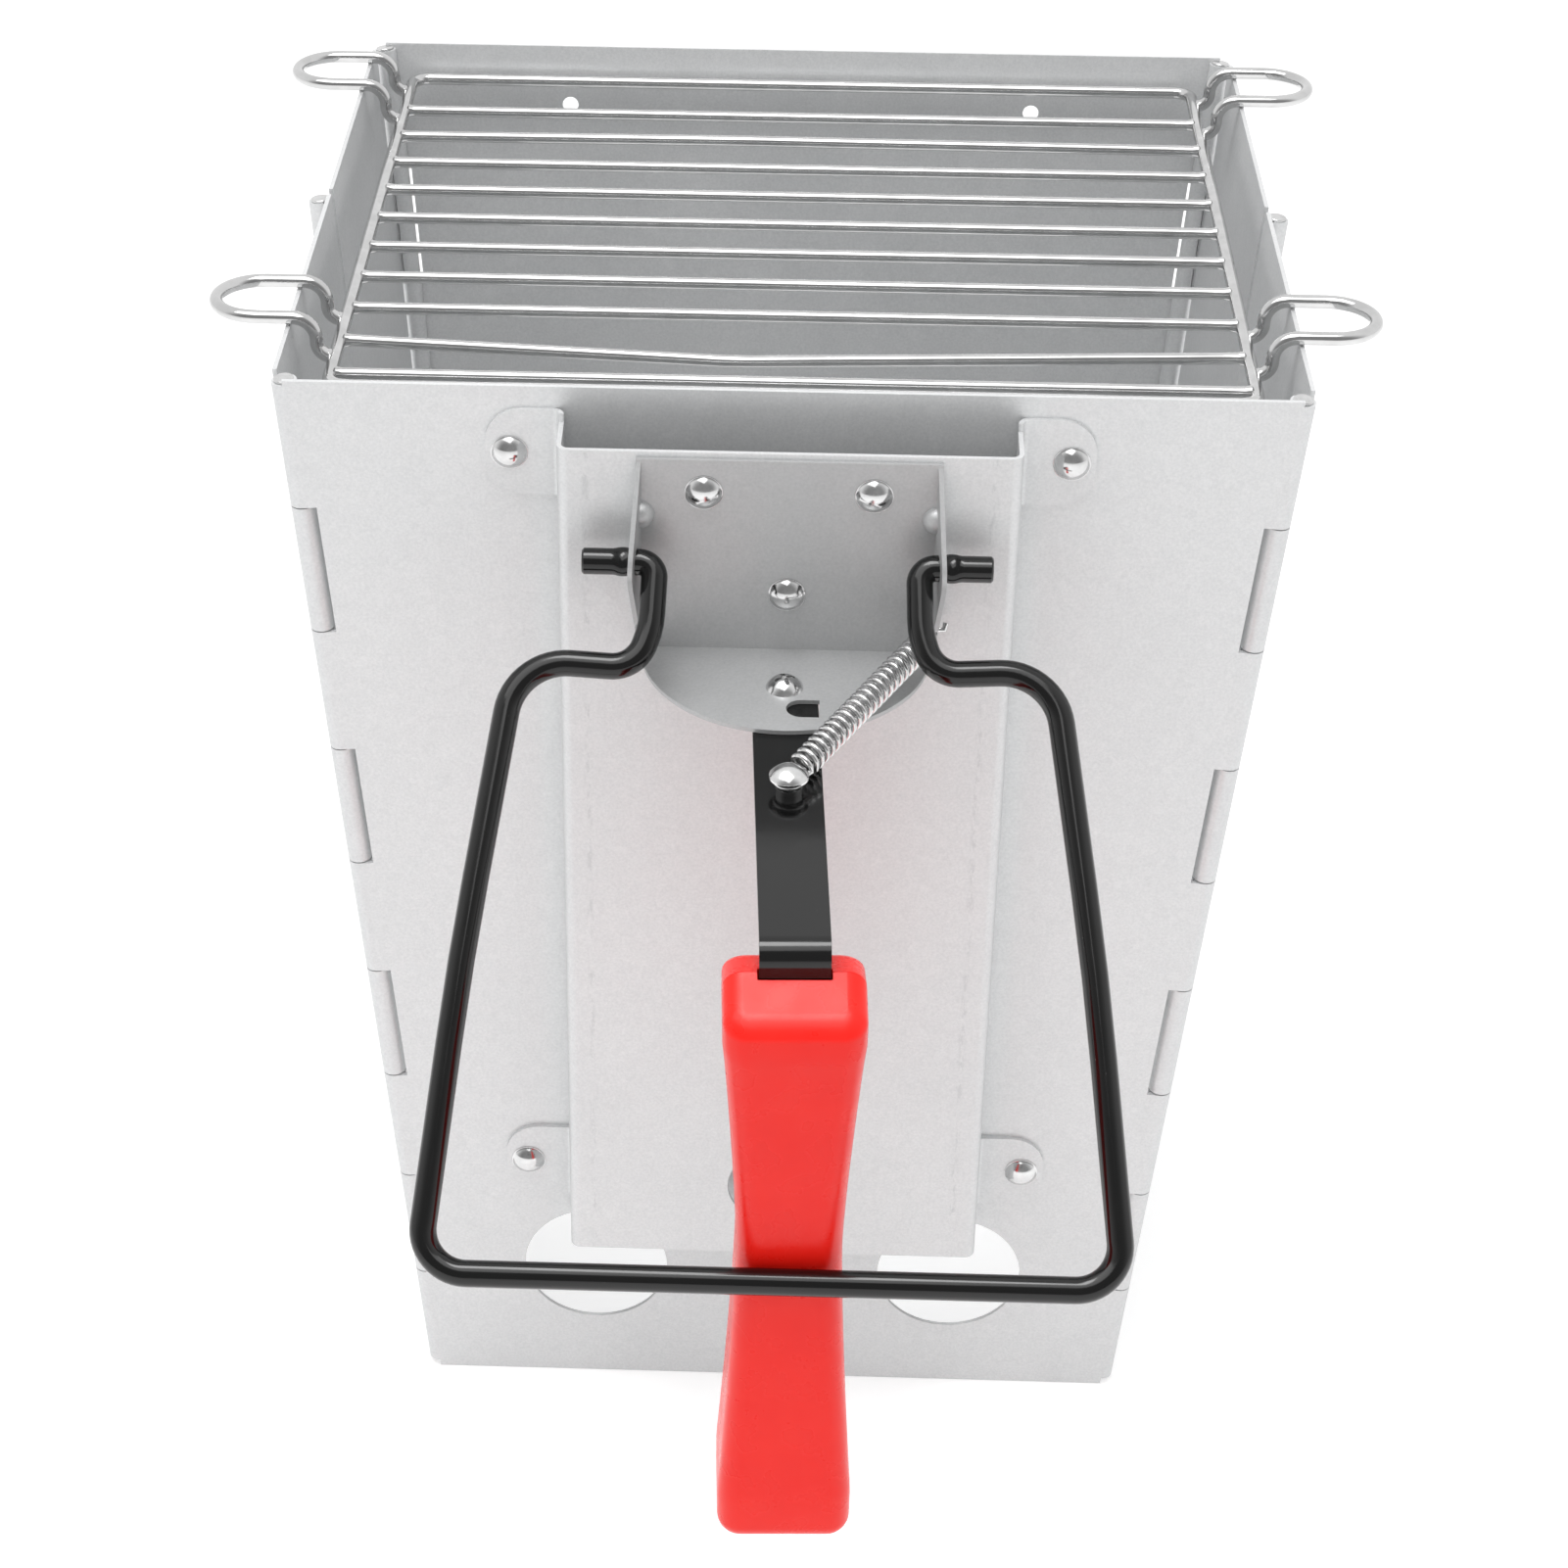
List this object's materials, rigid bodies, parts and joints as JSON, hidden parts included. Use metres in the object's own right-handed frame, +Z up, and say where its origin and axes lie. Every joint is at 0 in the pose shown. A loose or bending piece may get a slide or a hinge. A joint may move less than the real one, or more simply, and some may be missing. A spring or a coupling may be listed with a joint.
{
  "type": "folding camping grill",
  "caption": "Tapered sheet steel charcoal box that folds flat on pin hinges, with a lift-off wire grill, a swinging wire bail and a sprung side handle.",
  "frame": {"origin": "on the ground, under the middle of the whole object's bounding box", "axes": "+X to the right as seen from the handle, +Y from the handle to the back of the box, +Z up"},
  "size_m": [0.256, 0.3348, 0.2852],
  "materials": {
    "galvanised_sheet": "galvanised, slightly mottled",
    "zinc_fasteners": "zinc plated, satin",
    "spring_wire": "bright drawn wire",
    "chromed_wire": "polished",
    "black_enamel": "gloss",
    "red_grip": "high gloss"
  },
  "bodies": {
    "front": {"front_panel": "galvanised_sheet", "front_left_pin": "zinc_fasteners", "front_right_pin": "zinc_fasteners", "handle_channel": "galvanised_sheet", "channel_rivets": "zinc_fasteners", "handle_bracket": "galvanised_sheet", "bracket_rivets": "zinc_fasteners", "pivot_screw": "zinc_fasteners", "pivot_washer": "zinc_fasteners", "pivot_nut": "zinc_fasteners"},
    "left_front": {"left_front_panel": "galvanised_sheet", "middle_left_pin": "zinc_fasteners"},
    "left_rear": {"left_rear_panel": "galvanised_sheet"},
    "back": {"back_panel": "galvanised_sheet", "rear_left_pin": "zinc_fasteners", "rear_right_pin": "zinc_fasteners"},
    "right_front": {"right_front_panel": "galvanised_sheet", "middle_right_pin": "zinc_fasteners"},
    "right_rear": {"right_rear_panel": "galvanised_sheet"},
    "grill": {"grill_frame": "chromed_wire", "grill_rods": "chromed_wire", "grill_ears": "chromed_wire"},
    "bail": {"bail_handle": "black_enamel"},
    "handle": {"handle_strap": "black_enamel", "spring_post": "zinc_fasteners", "return_spring": "spring_wire", "grip_front": "red_grip", "grip_back": "red_grip", "grip_screws": "zinc_fasteners"}
  },
  "joints": [
    {"name": "fold", "type": "hinge", "parent": "front", "child": "left_front", "pos_m": [-0.10724, -0.03986, 0.282], "axis": [0.0845, 0.0807, -0.9931], "range_deg": [0, 90]},
    {"name": "left_middle", "type": "hinge", "parent": "left_front", "child": "left_rear", "pos_m": [-0.11176, 0.06238, 0.282], "axis": [-0.0848, 0, 0.9964], "range_deg": [0, 180]},
    {"name": "rear_left", "type": "hinge", "parent": "left_rear", "child": "back", "pos_m": [-0.10724, 0.16462, 0.282], "axis": [0.0845, -0.0807, -0.9931], "range_deg": [0, 90]},
    {"name": "front_right", "type": "hinge", "parent": "front", "child": "right_front", "pos_m": [0.10724, -0.03986, 0.282], "axis": [0.0845, -0.0807, 0.9931], "range_deg": [0, 90]},
    {"name": "right_middle", "type": "hinge", "parent": "right_front", "child": "right_rear", "pos_m": [0.11176, 0.06238, 0.282], "axis": [-0.0848, 0, -0.9964], "range_deg": [0, 180]},
    {"name": "grill_lift", "type": "slide", "parent": "front", "child": "grill", "axis": [0, 0, 1], "range_m": [0, 0.475]},
    {"name": "bail_swing", "type": "hinge", "parent": "front", "child": "bail", "pos_m": [0, -0.0622, 0.25131], "axis": [-1, 0, 0], "range_deg": [0, 140]},
    {"name": "handle_swivel", "type": "hinge", "parent": "front", "child": "handle", "pos_m": [0, -0.06762, 0.22419], "axis": [0, -0.081, 0.9967], "range_deg": [-28, 0], "stiffness_Nm_per_rad": 0.6, "springref_deg": 20.05, "deforming": ["return_spring"]}
  ],
  "couplings": [
    {"joint": "left_middle", "follows": "fold", "ratio": 1.991},
    {"joint": "rear_left", "follows": "fold", "ratio": 0.99989},
    {"joint": "front_right", "follows": "fold", "ratio": 1},
    {"joint": "right_middle", "follows": "fold", "ratio": 1.991},
    {"joint": "grill_lift", "follows": "fold", "m_per_rad": 0.3}
  ]
}
